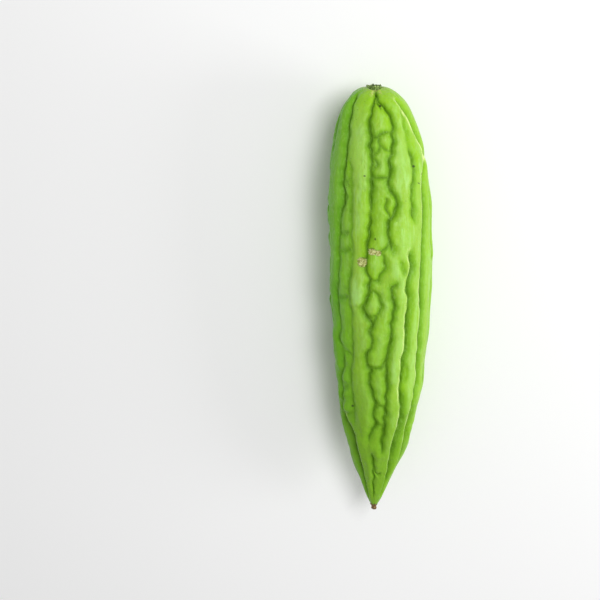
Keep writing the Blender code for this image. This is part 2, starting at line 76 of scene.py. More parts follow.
# Long furrows of the upper side: kind, then points of station in millimetres and angle.
LONG_FURROWS = [
    ("firm", [(4, -56), (10, -51), (17, -50), (25, -48), (34, -46), (42, -46), (49, -48), (56, -48),
              (61, -46), (67, -50)]),
    ("mild", [(61, -46), (67, -50), (72, -53), (82, -55), (94, -55), (108, -57), (119, -62), (129, -61),
              (138, -57), (146, -59), (153, -57), (158, -55), (166, -57), (172, -62), (179, -60),
              (186, -61), (191, -64), (198, -63), (203, -56)]),
    ("edge", [(198, -63), (203, -56), (207, -50)]),
    ("valley", [(198, -63), (203, -56), (207, -50), (213, -47), (220, -46), (226, -44), (232, -46),
                (240, -46), (254, -48)]),
    ("soft", [(40, -39), (48, -36), (62, -35), (89, -36), (101, -37), (110, -41), (122, -41), (129, -39),
              (144, -39), (156, -39), (169, -43), (182, -43), (192, -42), (202, -41)]),
    ("deep", [(1.3, 0), (3, 0), (5, -3), (7, -6), (10, -9), (14, -11), (18, -14), (22, -14), (25, -11),
              (28, -10), (31, -14), (34, -11), (37, -10), (41, -11), (50, -11), (62, -12), (76, -14),
              (87, -17), (95, -19), (98, -20), (104, -18), (108, -16), (117, -17), (124, -22), (127, -23),
              (130, -21), (132, -17), (135, -14), (140, -15), (145, -13), (150, -14), (154, -19),
              (158, -20), (162, -19), (166, -14), (169, -17), (176, -15), (181, -12), (186, -9), (190, -10),
              (196, -10), (202, -8), (204, -12), (208, -16), (212, -20)]),
    ("deep", [(1.3, 0), (3, 1), (5, 4), (7, 8), (10, 14), (13, 20), (16, 23), (20, 23), (24, 20), (29, 19),
              (35, 16), (40, 12), (45, 13), (49, 10), (52, 9), (56, 11), (61, 16), (65, 18), (69, 15),
              (72, 11), (74, 8), (78, 7), (83, 7), (88, 9), (91, 10)]),
    ("deep", [(111, 15), (112, 12), (114, 9), (118, 10), (121, 12), (126, 13), (134, 10), (140, 10),
              (146, 10), (151, 8), (156, 6), (161, 5), (167, 6), (175, 7), (188, 7), (202, 7), (210, 6),
              (215, 5), (220, 6)]),
    ("soft", [(12, 47), (19, 45), (27, 43), (34, 43), (40, 44)]),
    ("firm", [(34, 43), (40, 44), (47, 43), (56, 39), (64, 38), (71, 38), (75, 39)]),
    ("edge", [(93, 32), (97, 32), (101, 34), (105, 32), (109, 29), (114, 28), (119, 30), (124, 31),
              (132, 29), (141, 29), (150, 29), (155, 27), (159, 25), (163, 26), (168, 26), (172, 27),
              (175, 26), (181, 27), (188, 30), (195, 31), (201, 31)]),
    ("valley", [(195, 31), (201, 31), (206, 28), (214, 27), (220, 27), (226, 29), (232, 32), (239, 34),
                (254, 36)]),
    ("edge", [(37, 76), (42, 72), (48, 62), (53, 59), (57, 59), (65, 58), (72, 55), (81, 52), (90, 52),
              (100, 51), (109, 49), (118, 48), (128, 50), (141, 51), (146, 49), (153, 51), (158, 49),
              (163, 51), (168, 53), (174, 55), (183, 52), (191, 51), (197, 51)]),
    ("valley", [(191, 51), (197, 51), (204, 51), (210, 53), (216, 54), (222, 56), (228, 59), (237, 62),
                (254, 66)]),
    ("mild", [(60, 79), (72, 76), (84, 78), (97, 75), (108, 78), (121, 76), (135, 79), (150, 76), (163, 78),
              (177, 76), (190, 79), (204, 78), (216, 81)]),
    ("edge", [(7, 45), (12, 53), (16, 60), (21, 63), (26, 65), (32, 71), (37, 77), (46, 90), (54, 97),
              (70, 97), (88, 98), (106, 95), (124, 96), (145, 94), (168, 94), (190, 92), (212, 91),
              (236, 90), (254, 90)]),
]

# Short furrows that part the warts of the upper side.
SHORT_FURROWS = [
    ("gap", [(25, -12), (26, -3), (25, 1), (24, 8), (24, 19)]),
    ("gap", [(26, 0), (29, 0), (31, 1), (34, -3), (36, -6), (38, -8), (39, -6), (41, -5), (43, -7),
             (44, -10)]),
    ("gap", [(31, 1), (33, 7), (34, 15)]),
    ("gap", [(49, -10), (49, -5), (49, 2), (49, 10)]),
    ("gap", [(61, 5), (68, 6), (72, 8)]),
    ("gap", [(83, 7), (87, 6), (90, 3), (91, 0), (93, -2)]),
    ("gap", [(91, -18), (91, -12), (93, -2)]),
    ("gap", [(93, -2), (94, 0), (98, 2), (100, 3), (105, -2), (108, -4)]),
    ("gap", [(104, -17), (108, -14), (109, -8), (108, -4)]),
    ("gap", [(116, -16), (115, -12), (116, -9), (119, -4), (122, -3), (127, -4), (130, -7)]),
    ("gap", [(128, -23), (130, -18), (131, -13), (130, -7)]),
    ("gap", [(130, -7), (133, -9), (137, -13), (140, -14)]),
    ("gap", [(161, -19), (163, -14), (164, -7), (163, 0), (160, 5)]),
    ("gap", [(189, -9), (188, -2), (189, 6)]),
    ("gap", [(201, -8), (201, -1), (202, 6)]),
    ("firm", [(3, 1), (6, 2), (9, 3), (11, 5)]),
    ("faint", [(163, 28), (166, 32), (170, 33), (175, 30)]),
    ("firm", [(221, -13), (227, -12), (232, -10), (239, -11), (254, -12)]),
    ("gap", [(230, -9), (234, -5), (237, 1), (236, 9)]),
    ("faint", [(87, 12), (90, 12), (94, 12)]),
    ("faint", [(98, 20), (102, 22), (106, 23)]),
    ("faint", [(53, -47), (52, -39)]),
    ("faint", [(59, -46), (62, -39)]),
    ("faint", [(83, -55), (83, -46), (81, -37)]),
    ("faint", [(94, -55), (93, -45), (90, -37)]),
    ("faint", [(122, -60), (122, -51), (120, -43)]),
    ("faint", [(156, -55), (156, -48), (157, -41)]),
    ("faint", [(179, -60), (178, -52), (176, -44)]),
    ("faint", [(196, -61), (196, -51), (193, -42)]),
]

# Kinds of furrow: depth, reach on the side toward the top of the gourd and on the other side, length of the
# fading ends, all in millimetres, and how sharp the floor is.
KINDS = {
    "deep": (3.5, 6.4, 5.0, 5.0, 0.72),
    "edge": (3.6, 3.6, 6.6, 5.0, 0.70),
    "valley": (4.3, 3.8, 12.5, 5.0, 0.35),
    "firm": (2.9, 5.6, 5.2, 5.0, 0.65),
    "mild": (2.1, 5.2, 5.2, 5.0, 0.22),
    "soft": (1.5, 5.0, 5.0, 5.0, 0.06),
    "gap": (2.4, 4.2, 4.2, 1.5, 0.65),
    "wart": (2.9, 5.0, 5.0, 1.5, 0.45),
    "faint": (1.7, 4.6, 4.6, 2.0, 0.10),
}

# Kinds whose one side is a steep edge, with a line of painted highlight beside it, and how much of the waver
# they take.
STEEP_KINDS = ("edge", "valley")
STEEP_WAVER = 0.4

# Rounding of a furrow's deepest line and breadth of its floor, on the widest part of the gourd.
ROUNDING = 0.35 * MM
FLOOR_BREADTH = 0.62 * MM

# Rows of warts: angles of the two sides, and first and last station.
MIDDLE_ROW = (-13, 9, 26, 222)
LEFT_ROW = (-55, -38, 44, 200)
SIDE_ROWS = [
    (-104, -82, 24, 236),
    (119, 136, 18, 232),
    (203, 221, 22, 228),
]

# Angles of the furrows between the ribs of the underside.
UNDER_FURROWS = [119, 136, 158, 180, 203, 221, 240, 256, 278]

# Lumps of the upper side: station, angle, half length along, half width across and height, in millimetres.
LUMPS = [
    (41, -24, 14, 4.5, 0.4), (68, -26, 13, 4.5, 0.5), (93, -27, 8, 4.0, -0.3), (116, -29, 12, 5.0, 0.6),
    (148, -28, 9, 4.0, 0.4), (170, -30, 12, 4.5, 0.4), (196, -24, 10, 4.0, 0.5), (28, 30, 10, 5.0, 0.4),
    (50, 28, 9, 5.0, 0.4), (78, 23, 5, 4.0, 0.6), (79, 28, 2.5, 2.2, -0.7), (100, 15, 6, 2.0, 0.5),
    (98, 26, 7, 4.0, 0.4), (70, 25, 3, 2.5, 0.35), (63, 13, 4, 2.2, 0.5), (165, -63, 4, 3.0, 0.9),
    (184, -67, 5, 3.0, 0.9), (97, 76, 9, 5.0, 1.0), (117, 78, 6, 4.0, 0.6), (76, 80, 8, 5.0, -0.4),
    (54, -86, 4, 4.0, 0.6), (68, -88, 5, 4.0, 0.8), (78, -86, 4, 3.5, 0.5), (89, -87, 5, 4.0, 0.7),
    (107, -86, 6, 4.0, 0.7), (126, -88, 7, 4.0, 0.8), (57, -42, 4, 2.8, 0.6), (72, -45, 8, 3.2, 0.8),
    (88, -46, 4, 3.2, 0.6), (108, -49, 11, 3.4, 0.6), (130, -50, 6, 3.2, 0.7), (147, -49, 6, 3.4, 1.2),
    (160, -50, 4, 3.2, 0.8), (172, -52, 5, 3.4, 1.4), (183, -53, 3.5, 3.0, 1.3), (192, -53, 3.5, 3.0, 1.3),
    (204, 30, 9, 4.0, 0.3), (160, 40, 9, 4.0, 0.3),
]

# Number of the seeded lumps, and the heights in millimetres that they are drawn from.
SEEDED_LUMPS = 110
SEEDED_HEIGHTS = (-0.35, 0.35, 0.55)

# Gap between the ribs' ends in front of the stalk: run from the centre, angle, half length, half width and
# depth.
NOTCH = (5.6, -3, 3.6, 4.2, 2.3)

# Soft spots of the skin by the name of their mask, as station, angle, half length along and half width
# across: corky scabs, small dark specks, yellowish ends of the ribs beside the stalk, and pale patches,
# those of the upper side painted highlights on its crests and warts.
SPOTS = {
    "scab": [
        (91.6, -12.0, 2.6, 3.2), (92.3, -5.0, 2.2, 2.7), (98.2, -23.5, 3.6, 3.9),
    ],
    "speck": [
        (9, 7, 1.3, 1.3), (48, -18, 1.1, 1.1), (84, -8, 1.2, 1.2), (44, 45, 1.3, 1.3), (49, 55, 1.2, 1.2),
        (54, 49, 1.1, 1.1), (190, -44, 1.3, 1.3),
    ],
    "rib_end": [
        (2.8, -11, 2.4, 1.6), (2.4, 13, 2.0, 1.4),
    ],
    "pale": [
        (32, -26, 28, 9), (72, -25, 14, 6), (122, -26, 16, 6), (152, -23, 18, 4), (176, -21, 18, 5),
        (88, 23, 12, 6), (75, 12, 8, 3), (102, 13, 8, 3), (110, 21, 7, 3), (123, -6, 4, 7),
        (153, -3, 18, 4), (180, -2, 14, 4), (151, -50, 9, 4), (172, -54, 10, 4), (186, -58, 8, 4),
        (118, -52, 10, 4), (40, 28, 18, 7), (44, 2, 10, 5), (150, 20, 30, 6), (168, 40, 26, 6),
        (60, 152, 30, 9), (150, 170, 30, 9), (95, -130, 34, 9), (110, 112, 40, 8),
    ],
}

SEED = 20

# Shares of the gaps between warts that cross their row, fork in it and end in it. The rest cut off its side.
CROSSING = 0.40
FORKING = 0.25
ENDING = 0.15

# Colours beside those that a user may set, linear.
RIB_END = (0.62, 0.64, 0.20, 1)
BARE_NECK = (0.42, 0.47, 0.15, 1)
DARK_CORK = (0.30, 0.29, 0.07, 1)
SPECK = (0.03, 0.05, 0.01, 1)
# Painted shade: near black inside the stalk stub's hollow.
HOLLOW_SHADE = (0.020, 0.030, 0.008, 1)
LIGHT_STALK = (0.40, 0.54, 0.17, 1)
LIGHT_DRY = (0.30, 0.18, 0.07, 1)

# Mottles of the rind: size across in metres, stretch along the gourd, and the two values of the noise between
# which the mask rises.
MOTTLES = {
    "streaks": (0.0035, 6.0, 0.44, 0.66),
    "patches": (0.014, 2.5, 0.42, 0.68),
    "flecks": (0.0012, 2.5, 0.50, 0.68),
    "clouds": (0.0028, 1.8, 0.50, 0.72),
}

# Relief of the rind: size across in metres, stretch along the gourd, and height of the whole noise in metres.
RELIEF = {
    "Ripple": (0.006, 4.0, 0.0010),
    "Dents": (0.0022, 1.6, 0.0006),
    "Grain": (0.0005, 1.0, 0.00004),
}

# Inputs of the rind's colour: those that the user's colours fill, and those that the skin's masks fill.
GREENS_COLOURS = ("Crest", "Flank", "Furrow", "Bloom", "Fresh", "Shade")
# Of these masks, the floor, the shade side and the tip carry painted shade, the pale spots painted highlight,
# and the shoulder partly a painted glow.
GREENS_MASKS = {
    "Depth": "furrow",
    "Floor": "floor",
    "Shoulder": "shoulder",
    "Tip": "tip",
    "Shade side": "green_side",
    "Row": "row",
    "Raised": "raised",
    "Pale": "pale",
}

# Lamps: place in metres, power in watts and width in metres.
LAMPS = {
    "key": ((0.29, 0.35, 1.08), 7.2, 0.5),
    "side": ((1.00, -0.08, 0.40), 3.7, 0.45),
}

# Camera: place in metres from the gourd's stem end, lean from straight down and roll in degrees, and lens in
# millimetres.
CAMERA_PLACE = (-0.04453, 0.09225, 0.8199)
CAMERA_LEAN = 15.0
CAMERA_ROLL = -0.75
CAMERA_LENS = 85.0


def length_property(name, description, default):
    """A length in metres that the user can set."""
    return bpy.props.FloatProperty(name=name, description=description, default=default, unit="LENGTH")


def share_property(name, description, lowest=0.0):
    """A share of a usual value: 1, unless the user changes it."""
    return bpy.props.FloatProperty(name=name, description=description, default=1.0, min=lowest)


def colour_property(name, description, red, green, blue):
    """A linear colour that the user can set."""
    return bpy.props.FloatVectorProperty(
        name=name, description=description, default=(red, green, blue, 1), subtype="COLOR", size=4
    )


class GourdSizes(bpy.types.PropertyGroup):
    """Sizes of the gourd and of its relief."""

    length: length_property("Length", "Stem end to flower tip", 0.264)
    girth_radius: length_property("Girth radius", "Radius over the ribs where the gourd is thickest", 0.031)
    bow: length_property("Bow", "Sideways bow of the axis at mid length", 0.0036)
    droop: length_property("Droop", "How far the axis sinks toward the flower tip", 0.0026)
    rest_cut: length_property("Resting flat", "Height that the resting ribs are flattened by", 0.0008)
    furrow_depth: share_property("Furrow depth", "Depth of every furrow, as a share of its usual depth")
    furrow_reach: share_property("Furrow reach", "Width of the furrows' flanks, as a share of the usual", 0.1)
    lumps: share_property("Lumps", "Height of the soft lumps, as a share of their usual height")
    row_sink: length_property("Row sink", "How much lower the rows of warts lie than the ribs", 0.0009)
    wiggle: length_property("Wiggle", "How far the furrows waver to both sides of their lines", 0.0004)
    swell: length_property("Swell", "Height of the slow waves of the skin", 0.0004)
    rows: bpy.props.IntProperty(name="Rows", description="Grid rows along the gourd", default=312, min=60)
    columns: bpy.props.IntProperty(name="Columns", description="Grid columns round it", default=312, min=48)


class GourdColours(bpy.types.PropertyGroup):
    """Colours of the gourd, linear."""

    crest: colour_property("Crest", "Pale green of the rib crests", 0.33, 0.59, 0.050)
    flank: colour_property("Flank", "Green of the flanks", 0.22, 0.48, 0.020)
    # Partly the furrows' own darker green and partly painted shade in them; the pores use it too.
    furrow: colour_property("Furrow", "Dark green of the furrows", 0.075, 0.205, 0.002)
    # Painted highlight: the whitish green of the sheen painted along the crests; the pale flecks use it too.
    bloom: colour_property("Bloom", "Whitish green of the waxy streaks", 0.42, 0.74, 0.17)
    fresh: colour_property("Fresh", "Yellowish green of the younger patches", 0.30, 0.60, 0.010)
    # Painted shade: the darker, bluish green of the side turned away from the light.
    shade: colour_property("Shade side", "Bluish green of the side that grew in the shade", 0.11, 0.42, 0.012)
    # Painted highlight: the pale line along the ribs' steep edges, where light from the side would catch
    # them.
    rim: colour_property("Rim", "Pale yellow of the ribs' steep edges", 0.73, 0.90, 0.31)
    cork: colour_property("Cork", "Pale brown of the scabs", 0.68, 0.72, 0.30)
    stalk: colour_property("Stalk", "Grey green of the cut stalk", 0.10, 0.17, 0.035)
    dry: colour_property("Dry", "Brown of the dry flower remnant", 0.12, 0.065, 0.025)


def spline(points, steps):
    """Centripetal spline through points, with the given number of steps between two of them."""
    points = np.asarray(points, float)
    points = np.vstack([2 * points[0] - points[1], points, 2 * points[-1] - points[-2]])
    chords = np.sqrt(np.maximum(np.linalg.norm(np.diff(points, axis=0), axis=1), 1e-9))
    knots = np.concatenate([[0.0], np.cumsum(chords)])
    pieces = []
    for i in range(1, len(points) - 2):
        t0, t1, t2, t3 = knots[i - 1:i + 3]
        t = np.linspace(t1, t2, steps, endpoint=False)[:, None]
        a1 = ((t1 - t) * points[i - 1] + (t - t0) * points[i]) / (t1 - t0)
        a2 = ((t2 - t) * points[i] + (t - t1) * points[i + 1]) / (t2 - t1)
        a3 = ((t3 - t) * points[i + 1] + (t - t2) * points[i + 2]) / (t3 - t2)
        b1 = ((t2 - t) * a1 + (t - t0) * a2) / (t2 - t0)
        b2 = ((t3 - t) * a2 + (t - t1) * a3) / (t3 - t1)
        pieces.append(((t2 - t) * b1 + (t - t1) * b2) / (t2 - t1))
    pieces.append(points[-2:-1])
    return np.vstack(pieces)


def share(value, low, high):
    """How far a value has come from low to high: 0 up to low, 1 from high on."""
    return np.clip((value - low) / (high - low), 0.0, 1.0)


def turned_to(angle, centre):
    """The angle from a centre angle, between half a turn back and half a turn on."""
    return (angle - centre + math.pi) % (2 * math.pi) - math.pi


def outline_curve(sizes):
    """Station, radius and run length at each grid row.

    The rows stand evenly in the running sum of 1 + 2.2 exp(-run / 10 mm) + 1.4 exp(-run to go / 10 mm), so
    they are closer together at both ends.
    """
    stretch = [sizes.length / DRAWN_SIZE[0], sizes.girth_radius / DRAWN_SIZE[1]]
    curve = spline(np.array(OUTLINE) * stretch, 24)
    run = np.concatenate([[0.0], np.cumsum(np.linalg.norm(np.diff(curve, axis=0), axis=1))])
    fine = np.linspace(0.0, run[-1], 4000)
    density = 1.0 + 2.2 * np.exp(-fine / (10 * MM)) + 1.4 * np.exp((fine - run[-1]) / (10 * MM))
    count = np.concatenate([[0.0], np.cumsum(density[1:])])
    even = np.interp(np.linspace(0.0, count[-1], sizes.rows), count, fine)
    station = np.interp(even, run, curve[:, 0])
    radius = np.interp(even, run, curve[:, 1])
    return station, np.maximum(radius, 0.0), even


def wander(draw, angle, first, last, spread):
    """A furrow near one angle: each point keeps 0.55 of the last one's shift and is drawn aside anew."""
    line = []
    shift = draw.uniform(-spread, spread)
    station = first
    while station <= last:
        line.append((station, angle + shift))
        shift = 0.55 * shift + draw.uniform(-spread, spread)
        station += draw.uniform(9, 15)
    return line


def angle_on(line, station):
    """The angle of a furrow at a station."""
    return float(np.interp(station, [p[0] for p in line], [p[1] for p in line]))


def row_gaps(draw, left, right, first, last):
    """Short furrows that part a row into uneven warts: they cross it, fork, end in it or cut off its side."""
    gaps = []
    station = first + draw.uniform(4, 10)
    while station < last - 8:
        slant = draw.uniform(-3.5, 3.5)
        a = angle_on(left, station - slant)
        b = angle_on(right, station + slant)
        if draw.random() < 0.5:
            a, b = b, a
        middle = a + draw.uniform(0.35, 0.65) * (b - a)
        kind = draw.random()
        low = (station + draw.uniform(3, 6), middle)
        if kind < CROSSING:
            crest = (station + draw.uniform(-1.5, 2.5), middle)
            gaps.append([(station - slant, a), crest, (station + slant, b)])
        elif kind < CROSSING + FORKING:
            gaps.append([(station - slant, a), low, (station + slant, b)])
            gaps.append([low, (low[0] + draw.uniform(4, 8), middle + draw.uniform(-3, 3))])
        elif kind < CROSSING + FORKING + ENDING:
            gaps.append([(station, a), (station + 2, a + 0.35 * (b - a)), low])
        else:
            span = draw.uniform(6, 10)
            gaps.append([(station, a), (station + 0.25 * span, middle), (station + 0.75 * span, middle),
                         (station + span, a)])
        station += draw.uniform(9, 21)
    return gaps


def all_furrows():
    """Every furrow as a kind and its points."""
    draw = random.Random(SEED)
    furrows = LONG_FURROWS + SHORT_FURROWS
    under = {}
    for angle in UNDER_FURROWS:
        spread = 0.8 if angle == 180 else 2.0
        first = draw.uniform(3.5, 6)
        last = draw.uniform(246, 254)
        under[angle] = wander(draw, angle, first, last, spread)
        furrows = furrows + [("deep", under[angle])]
    for left, right, row in ((256, 278, SIDE_ROWS[0]), (119, 136, SIDE_ROWS[1]), (203, 221, SIDE_ROWS[2])):
        furrows = furrows + [("wart", gap) for gap in row_gaps(draw, under[left], under[right], *row[2:])]
    return furrows


def waver(seed, run, angle, shortest, longest):
    """Even waver of the skin, from about -1 to 1: the sum of seven slanted sine waves with seeded phases."""
    draw = random.Random(seed)
    wave = np.zeros(angle.shape)
    for _ in range(7):
        length = draw.uniform(shortest, longest) * MM
        turns = draw.choice((-9, -7, -5, -4, 4, 5, 7, 9))
        phase = draw.uniform(0, 2 * math.pi)
        wave += np.sin(2 * math.pi * run[:, None] / length + turns * angle + phase)
    return wave / 2.6


def distance_to(line, radius, run, along_skin, round_skin, table):
    """Distance on the unrolled skin from the grid points near a furrow to it, and the place along it.

    Also gives how far a point lies beside the furrow's line, positive on the side of the larger angles.
    """
    path = spline(line, 4 if len(line) > 2 else 2)
    stations = path[:, 0] * MM
    angles = np.radians(path[:, 1])
    runs = np.interp(stations, table[0], table[1])
    steps = np.hypot(np.diff(runs), MEAN_RADIUS * np.diff(angles))
    length = np.concatenate([[0.0], np.cumsum(steps)])
    rows = np.flatnonzero((run > runs.min() - NEAR) & (run < runs.max() + NEAR))
    middle = 0.5 * (angles.min() + angles.max())
    turn = turned_to(round_skin[rows], middle) + middle
    along = along_skin[rows]
    scale = radius[rows][:, None]
    nearest = np.full(turn.shape, 1.0)
    place = np.zeros(turn.shape)
    beside = np.zeros(turn.shape)
    for i in range(len(path) - 1):
        step_u = runs[i + 1] - runs[i]
        step_v = scale * (angles[i + 1] - angles[i])
        u = along - runs[i]
        v = scale * (turn - angles[i])
        t = np.clip((u * step_u + v * step_v) / (step_u ** 2 + step_v ** 2 + 1e-12), 0.0, 1.0)
        d = np.hypot(u - t * step_u, v - t * step_v)
        closer = d < nearest
        nearest = np.where(closer, d, nearest)
        place = np.where(closer, length[i] + t * (length[i + 1] - length[i]), place)
        beside = np.where(closer, (v * step_u - u * step_v) / np.hypot(step_u, step_v), beside)
    return rows, nearest, place, beside, length[-1]


def depth_share(station, radius):
    """Share of a furrow's full depth at each row.

    It is the smaller of (radius / 17 mm)^0.6, at most 1, and radius / 10.5 mm. Before station 12 mm, where
    the ribs end in round lobes, it is at least 0.85 * sqrt((radius - 3.2 mm) / 5 mm).
    """
    deep = np.minimum(np.clip(radius / (17 * MM), 0.01, 1.0) ** 0.6, radius / (10.5 * MM))
    lobes = 0.85 * np.sqrt(share(radius / MM, 3.2, 8.2))
    return np.where(station < 12 * MM, np.maximum(deep, lobes), deep)


def sink_of(sizes, station, radius, run, angle):
    """How far the skin sinks below the crests, masks of painted shade on furrow floors and of painted
    highlight on rib edges.

    For one furrow with depth h and reach q, at distance d on the unrolled skin, with t = 1 - min(d / q, 1):
    sink = h * ((1 - k) * t^2 + k * (1 - sqrt(1 - t^2))), where k says how sharp the floor is, faded over the
    last few millimetres of each end. The furrows are joined by the fourth root of the sum of the fourth
    powers. The place on the skin wavers by the sizes' wiggle before the distance is taken, less beside steep
    edges, and the depth by a seventh. The mask of painted shade on a floor is a bell over d. The mask of
    painted highlight on a steep edge is a bell on the side toward the top of the gourd, wider near the stem
    and on the gourd's sides.
    """
    deep = depth_share(station, radius)
    wide = np.clip(radius / (24 * MM), 0.1, 1.0)
    near_stem = 1.0 - share(station / MM, 42.0, 56.0)
    total, floor, rim = np.zeros((3, *angle.shape))
    first = int(np.argmin(station[:len(station) // 8]))
    table = (station[first:], run[first:])
    along_skin = run[:, None] + sizes.wiggle * waver(SEED + 3, run, angle, 7, 15)
    sideways = sizes.wiggle * waver(SEED + 4, run, angle, 6, 16) / np.maximum(radius, 8 * MM)[:, None]
    uneven = 1.0 + 0.14 * waver(SEED + 5, run, angle, 9, 30)
    for kind, line in all_furrows():
        depth, inner, outer, end = [value * MM for value in KINDS[kind][:4]]
        sharp = KINDS[kind][4]
        depth = depth * sizes.furrow_depth
        steep = kind in STEEP_KINDS
        round_skin = angle + (STEEP_WAVER if steep else 1.0) * sideways
        rows, nearest, place, beside, length = distance_to(line, radius, run, along_skin, round_skin, table)
        outward = 0.5 + 0.5 * np.clip(math.copysign(1.0, line[-1][1]) * beside / MM, -1.0, 1.0)
        reach = sizes.furrow_reach * (inner + (outer - inner) * outward)
        span = wide[rows][:, None]
        blunt = ROUNDING * span
        t = 1.0 - np.clip((np.sqrt(nearest ** 2 + blunt ** 2) - 0.3 * blunt) / (reach * span), 0.0, 1.0)
        fade = np.clip(place / end + 0.5, 0.0, 1.0) * np.clip((length - place) / end + 0.5, 0.0, 1.0)
        shape = (1.0 - sharp) * t ** 2 + sharp * (1.0 - np.sqrt(1.0 - t ** 2))
        total[rows] += (depth * deep[rows][:, None] * fade * shape * uneven[rows] / MM) ** 4
        # Painted shade: a thin dark line along the furrow's floor.
        core = fade * np.exp(-(nearest / (FLOOR_BREADTH * span)) ** 2) * sharp * depth / (2.0 * MM)
        floor[rows] = np.maximum(floor[rows], core)
        # Painted highlight: a pale line on the steep edge, on the side toward the top of the gourd.
        if steep:
            breadth = 0.50 + 0.40 * np.sin(angle[rows]) ** 2 + 0.45 * near_stem[rows][:, None]
            crest = np.exp(-((nearest / (MM * span) - 1.5 - 0.8 * breadth) / breadth) ** 2)
            rim[rows] = np.maximum(rim[rows], fade * crest * (1.0 - outward))
    return total ** 0.25 * MM, floor, rim


def lumps_of(sizes, station, radius, angle):
    """Soft lumps and dents: Gaussian bumps, those listed for the upper side and seeded ones all round."""
    draw = random.Random(SEED + 2)
    table = list(LUMPS)
    for _ in range(SEEDED_LUMPS):
        place = (draw.uniform(14, 238), draw.uniform(-180, 180), draw.uniform(3, 9), draw.uniform(2.5, 4.5))
        calm = 0.25 if abs(abs(place[1]) - 180) < 30 else 1.0
        table.append(place + (calm * draw.choice(SEEDED_HEIGHTS),))
    height = np.zeros(angle.shape)
    for at, turn, along, across, lift in table:
        u = (station[:, None] / MM - at) / along
        v = radius[:, None] * turned_to(angle, math.radians(turn)) / (across * MM)
        height += lift * MM * np.exp(-1.3 * (u ** 2 + v ** 2))
    return sizes.lumps * height


def swell_of(sizes, run, angle):
    """Slow rise and fall of the skin: nine waves with seeded phases, calmer where the gourd lies."""
    draw = random.Random(SEED + 1)
    wave = np.zeros(angle.shape)
    for _ in range(9):
        turns = draw.randint(1, 9)
        length = draw.uniform(22, 60) * MM
        phase = draw.uniform(0, 2 * math.pi)
        wave += np.sin(2 * math.pi * run[:, None] / length + turns * angle + phase)
    calm = 1.0 - 0.8 * np.clip(-np.cos(angle), 0.0, 1.0) ** 4
    return sizes.swell * calm * wave / 3.0


def row_mask(station, angle):
    """1 in the middle of each row of warts, 0 outside: (1 - (angle from its middle / half width)^2)^1.5."""
    mask = np.zeros(angle.shape)
    for left, right, first, last in [LEFT_ROW, MIDDLE_ROW] + SIDE_ROWS:
        half = 0.62 * (right - left)
        away = np.degrees(turned_to(angle, math.radians(0.5 * (left + right))))
        across = np.clip(1.0 - (away / half) ** 2, 0.0, 1.0) ** 1.5
        along = share(station / MM, first, first + 12) * (1.0 - share(station / MM, last - 12, last))
        mask += along[:, None] * across
    return np.clip(mask, 0.0, 1.0)


def axis_point(sizes, station):
    """Sideways and upward place of the axis at a station: half a sine wave, and a smooth step down."""
    down = share(station / MM, 105, 170)
    side = sizes.bow * np.sin(math.pi * np.clip(station / sizes.length, 0.0, 1.0))
    return side, -sizes.droop * down * down * (3.0 - 2.0 * down)


def spots_of(spots, station, angle, radius):
    """Mask of soft spots, each 1 at its centre and 0 from the ellipse of its two half widths on."""
    mask = np.zeros(angle.shape)
    for at, turn, along, across in spots:
        u = (station[:, None] / MM - at) / along
        v = radius[:, None] * turned_to(angle, math.radians(turn)) / (across * MM)
        mask = np.maximum(mask, np.clip(1.0 - np.sqrt(u ** 2 + v ** 2), 0.0, 1.0))
    return mask


def gathered(angle, sink, spots):
    """Angles of the grid's points, row by row, with the columns drawn together in the furrows and on spots.

    The columns stand evenly in the running sum of 1 + 1.8 * (sink / 2.4 mm)^1.5 + 2 * spots, which is
    smoothed from row to row.
    """
    density = 1.0 + 1.8 * np.clip(sink / (2.4 * MM), 0.0, 1.0) ** 1.5 + 2.0 * spots
    for _ in range(5):
        density[1:-1] = 0.25 * (density[:-2] + density[2:]) + 0.5 * density[1:-1]
    columns = angle.shape[1]
    closed = np.hstack([density, density[:, :1]])
    count = np.cumsum(0.5 * (closed[:, 1:] + closed[:, :-1]), axis=1)
    count = np.hstack([np.zeros((len(angle), 1)), count])
    edges = np.linspace(-math.pi, math.pi, columns + 1)
    return np.array([np.interp(row[-1] * np.arange(columns) / columns, row, edges) for row in count])


